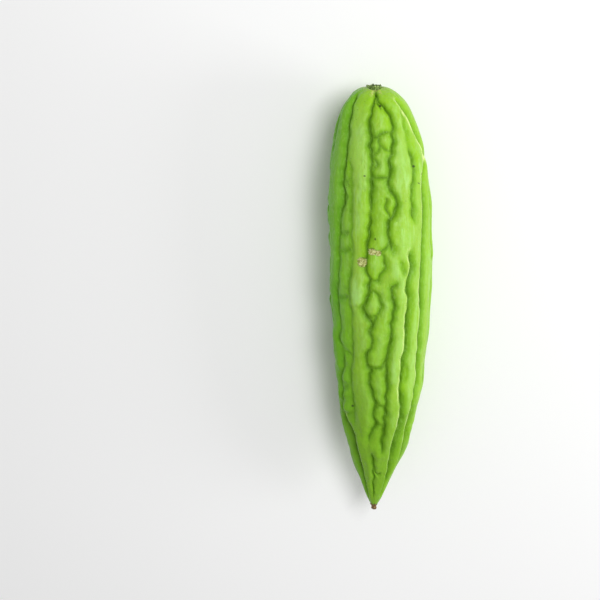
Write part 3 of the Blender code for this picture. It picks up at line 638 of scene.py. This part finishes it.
@functools.lru_cache(maxsize=2)
def skin_grid(sizes):
    """Skin points and masks on a grid of rows along and columns round, laid down and centred.

    point = axis + radius * (sin angle, cos angle), moved in along the outline's normal by the sink, the rows'
    trough, the lumps and the swell. Also gives the shift that lays the gourd down.
    """
    station, radius, run = outline_curve(sizes)
    even = np.linspace(-math.pi, math.pi, sizes.columns, endpoint=False) * np.ones((sizes.rows, 1))
    spots = spots_of(SPOTS["scab"] + SPOTS["speck"], station, even, radius)
    angle = gathered(even, sink_of(sizes, station, radius, run, even)[0], spots)
    step_s = np.gradient(station, run)
    step_r = np.gradient(radius, run)
    furrows, floor, rim = sink_of(sizes, station, radius, run, angle)
    rows_of_warts = row_mask(station, angle)
    raised = swell_of(sizes, run, angle) + lumps_of(sizes, station, radius, angle)
    body = share(radius / MM, 3.5, 15.5)[:, None]
    live = share(radius / MM, 4.0, 5.5)[:, None]
    notch = spots_of([NOTCH[:4]], run, angle, radius) ** 0.7 * NOTCH[4] * MM
    sink = (furrows + notch + (sizes.row_sink * rows_of_warts - raised) * body) * live
    r = np.maximum(radius[:, None] - sink * np.maximum(step_s, 0.0)[:, None], 0.0)
    s = station[:, None] + sink * np.clip(step_r, -1.0, 1.0)[:, None]
    side, rise = axis_point(sizes, s)
    points = np.stack([side + r * np.sin(angle), sizes.length / 2 - s, rise + r * np.cos(angle)], axis=-1)
    low = points.reshape(-1, 3).min(axis=0)
    high = points.reshape(-1, 3).max(axis=0)
    shift = np.array([-0.5 * (low[0] + high[0]), 0.0, -low[2] - sizes.rest_cut])
    points = points + shift
    points[..., 2] = np.maximum(points[..., 2], 0.0)
    masks = {
        # The furrow mask darkens the colour with depth, partly as painted shade; the floor mask is painted
        # shade.
        "furrow": np.clip(furrows / (3.3 * MM), 0.0, 1.0),
        "floor": np.clip(floor, 0.0, 1.0) * live,
        "raised": np.clip(0.5 + raised / (1.6 * MM), 0.0, 1.0),
        "row": rows_of_warts,
    }
    masks.update(place_masks(station, run, angle, rim))
    masks.update({name: spots_of(spots, station, angle, radius) for name, spots in SPOTS.items()})
    return points, masks, shift


def place_masks(station, run, angle, rim):
    """Masks that rise evenly over station, run or the sine of the angle, and the mask of the painted
    highlight on the ribs' edges by station.
    """
    place = station[:, None] / MM
    sideways = np.sin(angle)
    # Painted glow: the upper right side, facing the light, takes the yellower green of the fresh patches.
    painted_glow_side = share(sideways, 0.78, 0.98) * (1.0 - share(place, 90.0, 150.0))
    return {
        # Painted highlight on the ribs' steep edges, stronger near the stem.
        "rim": np.clip(rim * (0.90 + 0.50 * (1.0 - share(place, 45.0, 65.0))), 0.0, 1.0),
        "collar": (1.0 - share(run / MM, 6.0, 11.0))[:, None] * np.ones_like(angle),
        # The stem end's fresh tone, and the painted glow of the lit right side.
        "shoulder": np.maximum(1.0 - share(place, 8.0, 24.0), 0.9 * painted_glow_side),
        # Painted shade: the left side, away from the light, in the darker bluish green, less so toward the
        # tip.
        "green_side": share(-sideways, 0.50, 0.95) * (1.0 - 0.6 * share(place, 150.0, 210.0)),
        # Painted shade: darker toward the flower tip, reaching farther up on the left side.
        "tip": share(place - 50 * sideways, 140.0, 230.0),
    }


def closed_mesh(name, grid, masks):
    """Mesh of a grid that closes round its columns, its first and last rows drawn together into points."""
    rows, columns = grid.shape[:2]
    points = np.vstack([grid[1:-1].reshape(-1, 3), grid[0].mean(axis=0)[None], grid[-1].mean(axis=0)[None]])
    i, j = np.meshgrid(np.arange(rows - 3), np.arange(columns), indexing="ij")
    k = (j + 1) % columns
    here = i * columns
    ahead = (i + 1) * columns
    quads = np.stack([here + j, here + k, ahead + k, ahead + j], axis=-1).reshape(-1, 4)
    stem = (rows - 2) * columns
    j = np.arange(columns)
    k = (j + 1) % columns
    last = (rows - 3) * columns
    caps = np.vstack([
        np.stack([np.full(columns, stem), k, j], axis=-1),
        np.stack([np.full(columns, stem + 1), last + j, last + k], axis=-1),
    ])
    mesh = bpy.data.meshes.new(name)
    mesh.from_pydata(points, [], quads.tolist() + caps.tolist())
    lay_flat(mesh, rows, columns)
    for key, mask in masks.items():
        values = np.concatenate([mask[1:-1].ravel(), [mask[0].mean()], [mask[-1].mean()]]).astype(np.float32)
        layer = mesh.attributes.new(key, "FLOAT", "POINT")
        layer.data.foreach_set("value", values)
    mesh.polygons.foreach_set("use_smooth", np.ones(len(mesh.polygons), bool))
    mesh.update()
    return mesh


def lay_flat(mesh, rows, columns):
    """UV map of a closed mesh: u runs once round it from its underside, and v from first row to last."""
    i, j = np.meshgrid(np.arange(rows - 3), np.arange(columns), indexing="ij")
    u = np.stack([j, j + 1, j + 1, j], axis=-1).reshape(-1) / columns
    v = (np.stack([i, i, i + 1, i + 1], axis=-1).reshape(-1) + 1) / (rows - 1)
    turn = np.arange(columns)
    cap_u = np.concatenate([np.stack([turn + 0.5, turn + 1, turn], axis=-1).reshape(-1),
                            np.stack([turn + 0.5, turn, turn + 1], axis=-1).reshape(-1)]) / columns
    cap_v = np.concatenate([np.tile([0, 1, 1], columns), np.tile([rows - 1, rows - 2, rows - 2], columns)])
    cap_v = cap_v / (rows - 1)
    flat = np.stack([np.concatenate([u, cap_u]), np.concatenate([v, cap_v])], axis=-1).astype(np.float32)
    layer = mesh.uv_layers.new(name="OFBake")
    layer.data.foreach_set("uv", flat.ravel())


def show(mesh, material):
    """Puts a mesh into the scene as a piece that rides on the gourd's one body."""
    piece = bpy.data.objects.new(mesh.name, mesh)
    mesh.materials.append(material)
    bpy.context.scene.collection.objects.link(piece)
    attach(piece, "root")
    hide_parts("gourd")


SizeSet = collections.namedtuple("SizeSet", list(GourdSizes.__annotations__))


def sizes_of(context):
    """The sizes that are set in the scene, as a plain set."""
    return SizeSet(*(getattr(context.scene.gourd_sizes, key) for key in SizeSet._fields))


def new_group(name, inputs, outputs):
    """An empty shader node group with named sockets, and its input and output nodes."""
    tree = bpy.data.node_groups.new(name, "ShaderNodeTree")
    kinds = {"value": "NodeSocketFloat", "vector": "NodeSocketVector", "colour": "NodeSocketColor"}
    for label, kind, default in inputs:
        socket = tree.interface.new_socket(label, in_out="INPUT", socket_type=kinds[kind])
        if default is not None:
            socket.default_value = default
    for label, kind in outputs:
        tree.interface.new_socket(label, in_out="OUTPUT", socket_type=kinds[kind])
    return tree, tree.nodes.new("NodeGroupInput"), tree.nodes.new("NodeGroupOutput")


def fill(tree, node, values):
    """Sets a node's inputs: an output socket is linked, anything else is set as the value."""
    for key, value in values.items():
        if isinstance(value, bpy.types.NodeSocket):
            tree.links.new(value, node.inputs[key])
        else:
            node.inputs[key].default_value = value
    return node


def maths(tree, operation, a, b, clamp=False):
    """Maths node on two values."""
    node = tree.nodes.new("ShaderNodeMath")
    node.operation = operation
    node.use_clamp = clamp
    fill(tree, node, {0: a, 1: b})
    return node.outputs[0]


def times(tree, a, b, clamp=False):
    """Product of two values."""
    return maths(tree, "MULTIPLY", a, b, clamp)


def plus(tree, a, b, clamp=False):
    """Sum of two values."""
    return maths(tree, "ADD", a, b, clamp)


def ranged(tree, value, low, high, to_low=0.0, to_high=1.0):
    """Smooth step of a value from one range to another."""
    node = tree.nodes.new("ShaderNodeMapRange")
    node.interpolation_type = "SMOOTHSTEP"
    fill(tree, node, {"Value": value, "From Min": low, "From Max": high, "To Min": to_low, "To Max": to_high})
    return node.outputs["Result"]


def mixed(tree, mask, a, b):
    """Colour mix by a mask."""
    node = tree.nodes.new("ShaderNodeMix")
    node.data_type = "RGBA"
    fill(tree, node, {0: mask, 6: a, 7: b})
    return node.outputs[2]


def attribute(tree, name):
    """The value of a mesh mask."""
    node = tree.nodes.new("ShaderNodeAttribute")
    node.attribute_name = name
    return node.outputs["Fac"]


def used(tree, group, values):
    """The outputs of a group node with its inputs filled."""
    node = tree.nodes.new("ShaderNodeGroup")
    node.node_tree = bpy.data.node_groups[group]
    return fill(tree, node, values).outputs


def noise_of(tree, place, scale, detail, roughness):
    """Noise at a place."""
    node = tree.nodes.new("ShaderNodeTexNoise")
    fill(tree, node, {"Vector": place, "Scale": scale, "Detail": detail, "Roughness": roughness})
    return node.outputs["Fac"]


def mottle_group():
    """Lengthwise mottle: noise of a given size, stretched along the gourd, cut to a range."""
    tree, given, out = new_group(
        "lengthwise_mottle",
        [("Place", "vector", None), ("Size", "value", 0.01), ("Stretch", "value", 4.0),
         ("Detail", "value", 3.0), ("Low", "value", 0.4), ("High", "value", 0.7)],
        [("Mask", "value"), ("Noise", "value")],
    )
    get = given.outputs
    across = maths(tree, "DIVIDE", 1.0, get["Size"])
    along = maths(tree, "DIVIDE", across, get["Stretch"])
    scale = fill(tree, tree.nodes.new("ShaderNodeCombineXYZ"), {0: across, 1: along, 2: across})
    sized = tree.nodes.new("ShaderNodeVectorMath")
    sized.operation = "MULTIPLY"
    fill(tree, sized, {0: get["Place"], 1: scale.outputs[0]})
    noise = noise_of(tree, sized.outputs[0], 1.0, get["Detail"], 0.55)
    fill(tree, out, {"Mask": ranged(tree, noise, get["Low"], get["High"]), "Noise": noise})


def greens_group():
    """Colour of the rind: flanks, paler crests and fresh patches, with painted sheen, glow and shade."""
    values = {name: 0.0 for name in ("Streaks", "Patches", *GREENS_MASKS)}
    values["Raised"] = 0.5
    tree, given, out = new_group(
        "rind_greens",
        [(name, "colour", None) for name in GREENS_COLOURS]
        + [(name, "value", usual) for name, usual in values.items()],
        [("Colour", "colour")],
    )
    get = given.outputs
    # Paler on the crests and darker down the furrows' flanks, partly painted shade.
    crest = ranged(tree, get["Depth"], 0.30, 0.0)
    base = mixed(tree, crest, get["Flank"], get["Crest"])
    # Fresh yellowish patches, and the fresh tone where the shoulder mask rises, which on the right side is
    # painted glow.
    for mask, strength in (("Patches", 0.65), ("Shoulder", 0.7)):
        base = mixed(tree, times(tree, get[mask], strength), base, get["Fresh"])
    # Painted highlight: the pale spots lighten the crests toward the sheen's whitish green.
    base = mixed(tree, times(tree, times(tree, get["Pale"], crest), 0.45), base, get["Bloom"])
    # Painted sheen: whitish streaks on the crests, stronger on raised lumps, weaker where the shoulder mask
    # rises and toward the tip.
    painted_sheen_strength = maths(tree, "SUBTRACT", 0.52, times(tree, get["Shoulder"], 0.45))
    painted_sheen_strength = plus(tree, painted_sheen_strength, times(tree, maths(tree, "SUBTRACT", get["Raised"], 0.5), 1.1))
    painted_sheen_strength = times(tree, painted_sheen_strength, maths(tree, "SUBTRACT", 1.0, times(tree, get["Tip"], 0.8)))
    bloom = times(tree, times(tree, get["Streaks"], crest), painted_sheen_strength, clamp=True)
    base = mixed(tree, bloom, base, get["Bloom"])
    # Painted shade toward the tip and on the side away from the light; the rows of warts a little darker
    # green.
    for mask, strength, colour in (("Tip", 0.75, "Flank"), ("Row", 0.35, "Flank"), ("Tip", 0.25, "Furrow"),
                                   ("Shade side", 0.75, "Shade")):
        base = mixed(tree, times(tree, get[mask], strength), base, get[colour])
    # Dark green with the furrows' depth, partly their own colour and partly painted shade, and painted shade
    # along their floors.
    base = mixed(tree, ranged(tree, get["Depth"], 0.15, 0.85, 0.0, 0.65), base, get["Furrow"])
    base = mixed(tree, times(tree, get["Floor"], 0.65), base, get["Furrow"])
    fill(tree, out, {"Colour": base})


def relief_group():
    """Fine relief of the rind as a height in metres: long faint ripples, small dents and a fine grain."""
    heights = [(name, "value", values[2]) for name, values in RELIEF.items()]
    tree, given, out = new_group("rind_relief", [("Place", "vector", None)] + heights, [("Height", "value")])
    height = 0.0
    for name, (size, stretch, _whole) in RELIEF.items():
        mottle = used(tree, "lengthwise_mottle",
                      {"Place": given.outputs["Place"], "Size": size, "Stretch": stretch, "Detail": 2.0})
        height = plus(tree, height, times(tree, mottle["Noise"], given.outputs[name]))
    fill(tree, out, {"Height": height})


def cork_group():
    """Corky scab: a mask with broken edges, two browns, and its raised height in metres."""
    tree, given, out = new_group(
        "corky_scab",
        [("Place", "vector", None), ("Spot", "value", 0.0), ("Light", "colour", None),
         ("Dark", "colour", None)],
        [("Mask", "value"), ("Colour", "colour"), ("Height", "value")],
    )
    get = given.outputs
    noise = noise_of(tree, get["Place"], 900.0, 4.0, 0.7)
    broken = ranged(tree, plus(tree, get["Spot"], times(tree, noise, 0.9)), 0.62, 0.80)
    mask = times(tree, broken, ranged(tree, get["Spot"], 0.0, 0.12))
    colour = mixed(tree, ranged(tree, noise, 0.42, 0.60), get["Dark"], get["Light"])
    height = times(tree, times(tree, mask, noise), 0.0006)
    fill(tree, out, {"Mask": mask, "Colour": colour, "Height": height})


def pores_group():
    """Scattered pores: round dots where the skin passes near the middle of a cell, in two cells of five."""
    tree, given, out = new_group(
        "scattered_pores",
        [("Place", "vector", None), ("Cells per metre", "value", 230.0), ("Dot", "value", 0.10)],
        [("Mask", "value")],
    )
    get = given.outputs
    cells = fill(tree, tree.nodes.new("ShaderNodeTexVoronoi"),
                 {"Vector": get["Place"], "Scale": get["Cells per metre"]}).outputs
    pick = fill(tree, tree.nodes.new("ShaderNodeSeparateColor"), {0: cells["Color"]})
    chosen = maths(tree, "GREATER_THAN", pick.outputs[0], 0.6)
    dot = ranged(tree, maths(tree, "DIVIDE", cells["Distance"], get["Dot"]), 1.0, 0.5)
    fill(tree, out, {"Mask": times(tree, dot, chosen)})


def new_material(name):
    """New material: the material, its tree, its plain Principled shader and the object's coordinates."""
    material = bpy.data.materials.new(name)
    material.use_nodes = True
    tree = material.node_tree
    shader = tree.nodes["Principled BSDF"]
    place = tree.nodes.new("ShaderNodeTexCoord").outputs["Object"]
    return material, tree, shader, place


def bumped(tree, height):
    """A normal bent by a height in metres."""
    return fill(tree, tree.nodes.new("ShaderNodeBump"), {"Distance": 1.0, "Height": height}).outputs["Normal"]


def rind_material(colours):
    """Waxy green rind."""
    material, tree, shader, place = new_material("waxy_rind")
    mottles = {}
    for name, values in MOTTLES.items():
        settings = dict(zip(("Size", "Stretch", "Low", "High"), values))
        mottles[name] = used(tree, "lengthwise_mottle", {"Place": place, **settings})
    greens = {name: attribute(tree, mask) for name, mask in GREENS_MASKS.items()}
    greens.update({name: getattr(colours, name.lower()) for name in GREENS_COLOURS})
    greens.update({"Streaks": mottles["streaks"]["Mask"], "Patches": mottles["patches"]["Mask"]})
    green = used(tree, "rind_greens", greens)["Colour"]
    # Pale flecks of the skin, in the whitish green of the painted sheen, fewer toward the tip.
    waxed = maths(tree, "SUBTRACT", 0.20, times(tree, attribute(tree, "tip"), 0.17))
    green = mixed(tree, times(tree, mottles["flecks"]["Mask"], waxed), green, colours.bloom)
    green = mixed(tree, times(tree, mottles["clouds"]["Mask"], 0.22), green, colours.flank)
    # Painted highlight: a pale, broken line along the ribs' steep edges.
    uneven = ranged(tree, mottles["streaks"]["Noise"], 0.38, 0.6, 0.25, 1.0)
    green = mixed(tree, times(tree, attribute(tree, "rim"), uneven), green, colours.rim)
    patchy = ranged(tree, mottles["flecks"]["Noise"], 0.35, 0.6)
    green = mixed(tree, times(tree, attribute(tree, "rib_end"), patchy), green, RIB_END)
    green = mixed(tree, times(tree, times(tree, attribute(tree, "collar"), patchy), 0.55), green, BARE_NECK)
    pores = used(tree, "scattered_pores", {"Place": place})
    green = mixed(tree, times(tree, pores["Mask"], 0.55), green, colours.furrow)
    cork = used(tree, "corky_scab", {
        "Place": place, "Spot": attribute(tree, "scab"), "Light": colours.cork, "Dark": DARK_CORK,
    })
    colour = mixed(tree, cork["Mask"], green, cork["Colour"])
    speck = ranged(tree, attribute(tree, "speck"), 0.25, 0.6)
    colour = mixed(tree, times(tree, speck, 0.85), colour, SPECK)
    rough = ranged(tree, mottles["streaks"]["Noise"], 0.35, 0.7, 0.34, 0.46)
    rough = plus(tree, rough, ranged(tree, attribute(tree, "furrow"), 0.1, 0.6, 0.0, 0.2))
    rough = plus(tree, rough, times(tree, cork["Mask"], 0.4), clamp=True)
    height = plus(tree, used(tree, "rind_relief", {"Place": place})["Height"], cork["Height"])
    fill(tree, shader, {
        "Base Color": colour, "Roughness": rough, "Normal": bumped(tree, height),
        "Subsurface Weight": 0.15, "Subsurface Radius": (0.6, 1.0, 0.25), "Subsurface Scale": 0.003,
        "Specular IOR Level": 0.17, "Coat Weight": 0.03, "Coat Roughness": 0.3,
    })
    return material


def fibre_material(name, light, dark, size):
    """Rough plant fibre in two colours, streaked along the gourd."""
    material, tree, shader, place = new_material(name)
    grain = used(tree, "lengthwise_mottle",
                 {"Place": place, "Size": size, "Stretch": 3.0, "Low": 0.40, "High": 0.62})
    fine = used(tree, "lengthwise_mottle",
                {"Place": place, "Size": size * 0.35, "Stretch": 2.0, "Low": 0.4, "High": 0.6})
    colour = mixed(tree, grain["Mask"], dark, light)
    # Painted shade: near black inside the stub's hollow.
    colour = mixed(tree, times(tree, attribute(tree, "hollow"), 0.85), colour, HOLLOW_SHADE)
    height = plus(tree, times(tree, grain["Noise"], 0.0004), times(tree, fine["Noise"], 0.0002))
    fill(tree, shader, {
        "Base Color": colour, "Roughness": ranged(tree, fine["Noise"], 0.3, 0.7, 0.65, 0.9),
        "Normal": bumped(tree, height),
    })
    return material


class GOURD_OT_materials(bpy.types.Operator):
    """Makes the shared node groups."""

    bl_idname = "gourd.materials"
    bl_label = "Make shader groups"

    def execute(self, context):
        mottle_group()
        greens_group()
        relief_group()
        cork_group()
        pores_group()
        return {"FINISHED"}


class GOURD_OT_skin(bpy.types.Operator):
    """Builds the furrowed skin, flat where it rests."""

    bl_idname = "gourd.skin"
    bl_label = "Build skin"

    def execute(self, context):
        points, masks, _shift = skin_grid(sizes_of(context))
        show(closed_mesh("gourd_skin", points, masks), rind_material(context.scene.gourd_colours))
        return {"FINISHED"}


class GOURD_OT_stalk(bpy.types.Operator):
    """Builds the cut stub of the stalk in its hollow at the stem end."""

    bl_idname = "gourd.stalk"
    bl_label = "Build stalk stub"

    def execute(self, context):
        sizes = sizes_of(context)
        shift = skin_grid(sizes)[2]
        grid, hollow = stub_grid()
        grid = grid + np.array([0.0, sizes.length / 2, 0.0]) + shift
        material = fibre_material("cut_stalk", LIGHT_STALK, context.scene.gourd_colours.stalk, 0.0009)
        show(closed_mesh("stalk_stub", grid, {"hollow": hollow}), material)
        return {"FINISHED"}


class GOURD_OT_flower_tip(bpy.types.Operator):
    """Builds the dry remnant of the flower at the pointed end."""

    bl_idname = "gourd.flower_tip"
    bl_label = "Build dry flower tip"

    def execute(self, context):
        sizes = sizes_of(context)
        shift = skin_grid(sizes)[2]
        grid = remnant_grid() + np.array([0.0, -sizes.length / 2, -sizes.droop]) + shift
        material = fibre_material("dry_flower", LIGHT_DRY, context.scene.gourd_colours.dry, 0.0006)
        show(closed_mesh("dry_flower_tip", grid, {"hollow": np.zeros(grid.shape[:2])}), material)
        return {"FINISHED"}


def turned(points, columns):
    """Angles round a turned form, and y, radius and t from 0 to 1 along a profile given in millimetres."""
    profile = spline(points, 7)
    angle = np.linspace(-math.pi, math.pi, columns, endpoint=False)[None, :]
    t = np.linspace(0.0, 1.0, len(profile))[:, None]
    return angle, profile[:, :1] * MM, profile[:, 1:] * MM, t


def stub_grid():
    """Stub of the stalk, its foot at station 3.6 mm and its broken, hollow end near station 0.

    radius(angle, t) = profile(t) * (1 + 0.10 sin(3 angle) + 0.07 sin(5 angle) + fine folds). Three waves
    lift and lower the broken edge. Also gives the mask of the painted shade in the hollow: 1 inside the edge,
    0 outside it.
    """
    angle, y, r, t = turned([
        (-3.6, 3.9), (-2.4, 3.4), (-1.2, 3.6), (-0.4, 4.2), (0.0, 4.1), (-0.1, 3.4), (-0.9, 2.6), (-1.5, 1.3),
        (-1.6, 0.0),
    ], 72)
    folds = 0.10 * np.sin(3 * angle + 0.6) + 0.07 * np.sin(5 * angle + 2.0)
    wide = r * (1.0 + folds + 0.04 * np.sin(17 * angle + 6 * t))
    broken = 0.5 * np.sin(4 * angle + 1.0) + 0.35 * np.sin(9 * angle + 5 * t)
    broken = broken + 0.25 * np.sin(15 * angle + 2.0)
    lift = MM * 0.55 * broken * share(y / MM, -1.5, 0.0)
    grid = np.stack([wide * np.sin(angle), y + lift, wide * np.cos(angle)], axis=-1)
    # Mask of the painted shade inside the hollow.
    hollow = share(t, 0.58, 0.72) * np.ones_like(angle)
    grid = np.concatenate([grid[:1] * [0, 1, 0], grid], axis=0)[::-1]
    return grid, np.concatenate([hollow[:1], hollow], axis=0)[::-1]


def remnant_grid():
    """Dry flower remnant: a small crumpled spindle with five folds.

    radius(angle, t) = profile(t) * (1 + 0.22 sin(5 angle + 3 t) + 0.08 sin(11 angle + 4 t)).
    """
    angle, y, r, t = turned([(4.4, 2.3), (3.2, 1.75), (2.0, 1.25), (1.0, 1.45), (0.3, 1.2), (0.0, 0.0)], 60)
    wide = r * (1.0 + 0.22 * np.sin(5 * angle + 3 * t) + 0.08 * np.sin(11 * angle + 4 * t))
    ragged = MM * 0.5 * np.sin(5 * angle + 1.0) * t ** 2
    grid = np.stack([wide * np.sin(angle), y + ragged * (r > 0), wide * np.cos(angle)], axis=-1)
    return np.concatenate([grid[:1] * [0, 1, 0], grid], axis=0)


class GOURD_OT_stage(bpy.types.Operator):
    """Sets the pale floor, the soft studio light and the camera."""

    bl_idname = "gourd.stage"
    bl_label = "Set stage"

    def execute(self, context):
        floor_and_world()
        for name, settings in LAMPS.items():
            lamp(name, *settings)
        camera(sizes_of(context))
        return {"FINISHED"}


def floor_and_world():
    """Plain pale floor and an even pale surround."""
    mesh = bpy.data.meshes.new("floor")
    mesh.from_pydata([(-3, -3, 0), (3, -3, 0), (3, 3, 0), (-3, 3, 0)], [], [(0, 1, 2, 3)])
    floor = bpy.data.objects.new("floor", mesh)
    material = bpy.data.materials.new("pale_floor")
    material.use_nodes = True
    fill(material.node_tree, material.node_tree.nodes["Principled BSDF"],
         {"Base Color": (0.97, 0.97, 0.97, 1), "Roughness": 0.6})
    mesh.materials.append(material)
    bpy.context.scene.collection.objects.link(floor)
    world = bpy.data.worlds.new("surround")
    bpy.context.scene.world = world
    world.use_nodes = True
    sky = world.node_tree.nodes["Background"]
    fill(world.node_tree, sky, {"Color": (1.0, 1.0, 1.0, 1), "Strength": 0.42})
    bpy.context.scene.view_settings.view_transform = "Standard"


def lamp(name, place, power, width):
    """Square soft lamp aimed at the middle of the gourd."""
    light = bpy.data.lights.new(name, "AREA")
    light.energy = power
    light.size = width
    lamp_object = bpy.data.objects.new(name, light)
    lamp_object.location = place
    lamp_object.rotation_euler = (Vector((0, 0, 0.03)) - Vector(place)).to_track_quat("-Z", "Y").to_euler()
    bpy.context.scene.collection.objects.link(lamp_object)


def camera(sizes):
    """Camera that looks down on the gourd from its stem end's side, rolled a little to the right."""
    lean = math.radians(CAMERA_LEAN)
    roll = math.radians(CAMERA_ROLL)
    right = Vector((1, 0, 0))
    up = Vector((0, math.cos(lean), -math.sin(lean)))
    ahead = Vector((0, -math.sin(lean), -math.cos(lean)))
    turned_right = right * math.cos(roll) + up * math.sin(roll)
    turned_up = up * math.cos(roll) - right * math.sin(roll)
    place = Vector(CAMERA_PLACE) + Vector((0, sizes.length / 2, 0)) + Vector(skin_grid(sizes)[2])
    data = bpy.data.cameras.new("camera")
    data.lens = CAMERA_LENS
    data.sensor_width = 36.0
    data.clip_end = 20.0
    view = bpy.data.objects.new("camera", data)
    turn = Matrix((turned_right, turned_up, -ahead)).transposed()
    view.matrix_world = Matrix.Translation(place) @ turn.to_4x4()
    bpy.context.scene.collection.objects.link(view)
    bpy.context.scene.camera = view


class GOURD_PT_panel(bpy.types.Panel):
    """Sizes, colours and buttons of the gourd."""

    bl_idname = "GOURD_PT_panel"
    bl_label = "Bitter gourd"
    bl_space_type = "VIEW_3D"
    bl_region_type = "UI"
    bl_category = "Gourd"

    def draw(self, context):
        for group in (context.scene.gourd_sizes, context.scene.gourd_colours):
            for key in group.__annotations__:
                self.layout.prop(group, key)
        for name in OPERATORS:
            self.layout.operator("gourd." + name)


OPERATORS = ("materials", "skin", "stalk", "flower_tip", "stage")
CLASSES = (
    GourdSizes,
    GourdColours,
    GOURD_OT_materials,
    GOURD_OT_skin,
    GOURD_OT_stalk,
    GOURD_OT_flower_tip,
    GOURD_OT_stage,
    GOURD_PT_panel,
)


def register():
    """Registers the classes and the scene's two groups of settings."""
    for item in CLASSES:
        bpy.utils.register_class(item)
    bpy.types.Scene.gourd_sizes = bpy.props.PointerProperty(type=GourdSizes)
    bpy.types.Scene.gourd_colours = bpy.props.PointerProperty(type=GourdColours)


def unregister():
    """Takes the settings and classes away again."""
    del bpy.types.Scene.gourd_colours
    del bpy.types.Scene.gourd_sizes
    for item in reversed(CLASSES):
        bpy.utils.unregister_class(item)


def main():
    """Builds every piece."""
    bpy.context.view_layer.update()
    register()
    for name in OPERATORS:
        getattr(bpy.ops.gourd, name)()
    bpy.context.view_layer.update()


if __name__ == "__main__":
    main()
